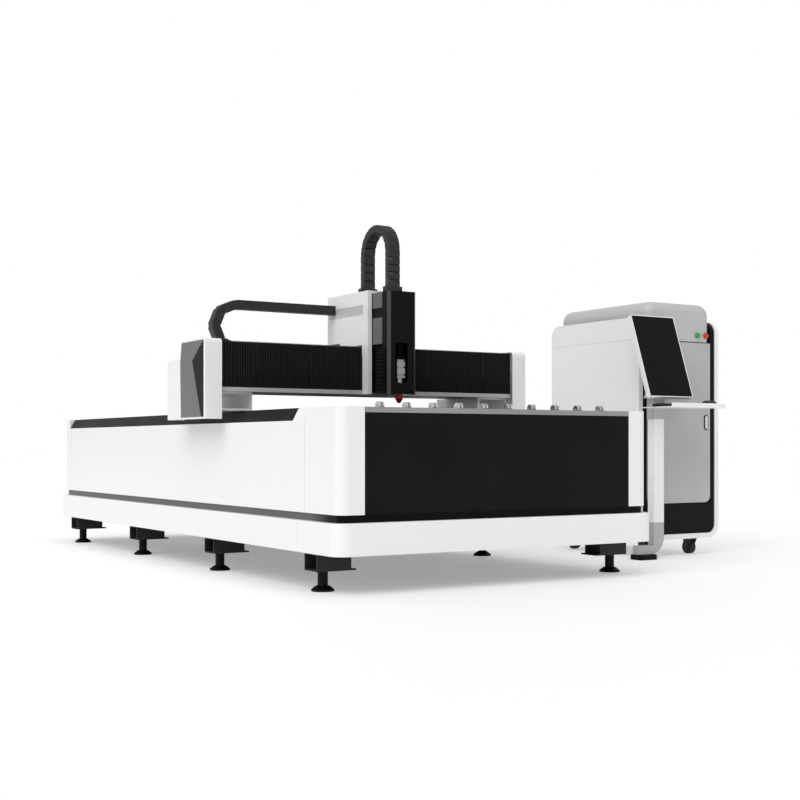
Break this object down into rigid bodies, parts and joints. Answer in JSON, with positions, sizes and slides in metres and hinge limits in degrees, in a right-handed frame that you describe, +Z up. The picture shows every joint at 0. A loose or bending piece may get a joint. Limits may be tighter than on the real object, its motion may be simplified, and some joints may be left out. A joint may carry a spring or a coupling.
{
  "type": "fiber laser cutting machine",
  "caption": "Open-bed sheet laser cutter: gantry with pleated bellows and drag chains over a slatted table, with a rounded control cabinet and a monitor console.",
  "frame": {"origin": "middle of the machine's footprint box on the floor", "axes": "+X to the operator's right, -Y towards the loading front with the dark panel, +Z up"},
  "size_m": [3.604, 4.51, 2.1177],
  "materials": {
    "white_paint": "gloss white powder coat",
    "black_paint": "satin black powder coat",
    "grey_paint": "satin grey powder coat",
    "light_grey_paint": "satin light grey powder coat",
    "frame_paint": "matt dark primer",
    "steel": "ground steel",
    "aluminium": "satin aluminium",
    "bellows_cloth": "coated black cloth",
    "black_plastic": "moulded black nylon",
    "castor_rubber": "black rubber",
    "red_plastic": "dark red anodised cone",
    "green_button": "green lens",
    "red_button": "red lens",
    "screen_glass": "dark glass"
  },
  "bodies": {
    "machine": {"bed_frame": "frame_paint", "levelling_feet": "black_paint", "skirt_front": "white_paint", "skirt_sides": "white_paint", "waist_band": "grey_paint", "side_panel_left": "white_paint", "side_panel_right": "white_paint", "rear_panel": "white_paint", "corner_columns": "white_paint", "front_panel": "black_paint", "front_sill": "light_grey_paint", "loading_rollers": "steel", "rail_guards": "black_paint", "y_rails": "steel", "slats": "steel", "slag_trays": "steel", "cabinet_shell": "white_paint", "cabinet_frame": "black_paint", "cabinet_cap": "light_grey_paint", "cabinet_door": "grey_paint", "door_handle": "black_plastic", "laser_source": "aluminium", "console_post": "white_paint", "console_foot": "black_paint", "console_head": "grey_paint", "keyboard_tray": "white_paint", "keyboard_and_mouse": "black_plastic"},
    "gantry": {"gantry_beam": "light_grey_paint", "beam_rails": "steel", "gantry_saddles": "white_paint", "y_drives": "black_paint", "end_cover_left": "white_paint", "end_cover_right": "white_paint", "inlay_grey": "grey_paint", "inlay_black": "black_paint", "bellows_left": "bellows_cloth", "bellows_right": "bellows_cloth"},
    "carriage": {"carriage_plate": "aluminium", "carriage_cover": "white_paint", "z_housing": "grey_paint", "z_bellows": "bellows_cloth", "z_chain": "black_plastic", "x_chain_upper": "black_plastic"},
    "z_head": {"z_plate": "aluminium", "z_cover": "black_paint", "cutting_head": "aluminium", "nozzle": "red_plastic"},
    "x_chain": {"x_chain_loop": "black_plastic"},
    "monitor": {"monitor_housing": "white_paint", "monitor_screen": "screen_glass"},
    "start_button": {"start_button": "green_button"},
    "stop_button": {"stop_button": "red_button"},
    "castor_swivel_1": {"castor_fork_1": "black_plastic"},
    "castor_roll_1": {"castor_wheel_1": "castor_rubber"},
    "castor_swivel_2": {"castor_fork_2": "black_plastic"},
    "castor_roll_2": {"castor_wheel_2": "castor_rubber"},
    "castor_swivel_3": {"castor_fork_3": "black_plastic"},
    "castor_roll_3": {"castor_wheel_3": "castor_rubber"},
    "castor_swivel_4": {"castor_fork_4": "black_plastic"},
    "castor_roll_4": {"castor_wheel_4": "castor_rubber"}
  },
  "joints": [
    {"name": "gantry_slide", "type": "slide", "parent": "machine", "child": "gantry", "axis": [0, 1, 0], "range_m": [-0.84, 2.2]},
    {"name": "carriage_slide", "type": "slide", "parent": "gantry", "child": "carriage", "axis": [1, 0, 0], "range_m": [-0.76, 0.68], "deforming": ["bellows_left", "bellows_right"]},
    {"name": "z_slide", "type": "slide", "parent": "carriage", "child": "z_head", "axis": [0, 0, 1], "range_m": [-0.035, 0.085], "deforming": ["z_bellows", "z_chain"]},
    {"name": "x_chain_feed", "type": "slide", "parent": "carriage", "child": "x_chain", "axis": [1, 0, 0], "range_m": [-0.4, 0.4], "deforming": ["x_chain_upper"]},
    {"name": "monitor_tilt", "type": "hinge", "parent": "machine", "child": "monitor", "pos_m": [1.117, -1.54202, 1.20183], "axis": [1, 0, 0], "range_deg": [-2, 12]},
    {"name": "start_press", "type": "slide", "parent": "machine", "child": "start_button", "axis": [0, 1, 0], "range_m": [0, 0.004], "stiffness_N_per_m": 800},
    {"name": "stop_press", "type": "slide", "parent": "machine", "child": "stop_button", "axis": [0, 1, 0], "range_m": [0, 0.004], "stiffness_N_per_m": 800},
    {"name": "castor_swivel_1", "type": "hinge", "parent": "machine", "child": "castor_swivel_1", "pos_m": [1.23, -1.29, 0.1], "axis": [0, 0, 1], "continuous": true},
    {"name": "castor_roll_1", "type": "hinge", "parent": "castor_swivel_1", "child": "castor_roll_1", "pos_m": [1.23, -1.26, 0.046], "axis": [1, 0, 0], "continuous": true},
    {"name": "castor_swivel_2", "type": "hinge", "parent": "machine", "child": "castor_swivel_2", "pos_m": [1.23, -0.56, 0.1], "axis": [0, 0, 1], "continuous": true},
    {"name": "castor_roll_2", "type": "hinge", "parent": "castor_swivel_2", "child": "castor_roll_2", "pos_m": [1.23, -0.53, 0.046], "axis": [1, 0, 0], "continuous": true},
    {"name": "castor_swivel_3", "type": "hinge", "parent": "machine", "child": "castor_swivel_3", "pos_m": [1.645, -1.29, 0.1], "axis": [0, 0, 1], "continuous": true},
    {"name": "castor_roll_3", "type": "hinge", "parent": "castor_swivel_3", "child": "castor_roll_3", "pos_m": [1.645, -1.26, 0.046], "axis": [1, 0, 0], "continuous": true},
    {"name": "castor_swivel_4", "type": "hinge", "parent": "machine", "child": "castor_swivel_4", "pos_m": [1.645, -0.56, 0.1], "axis": [0, 0, 1], "continuous": true},
    {"name": "castor_roll_4", "type": "hinge", "parent": "castor_swivel_4", "child": "castor_roll_4", "pos_m": [1.645, -0.53, 0.046], "axis": [1, 0, 0], "continuous": true}
  ],
  "couplings": [
    {"joint": "x_chain_feed", "follows": "carriage_slide", "ratio": -0.5}
  ]
}
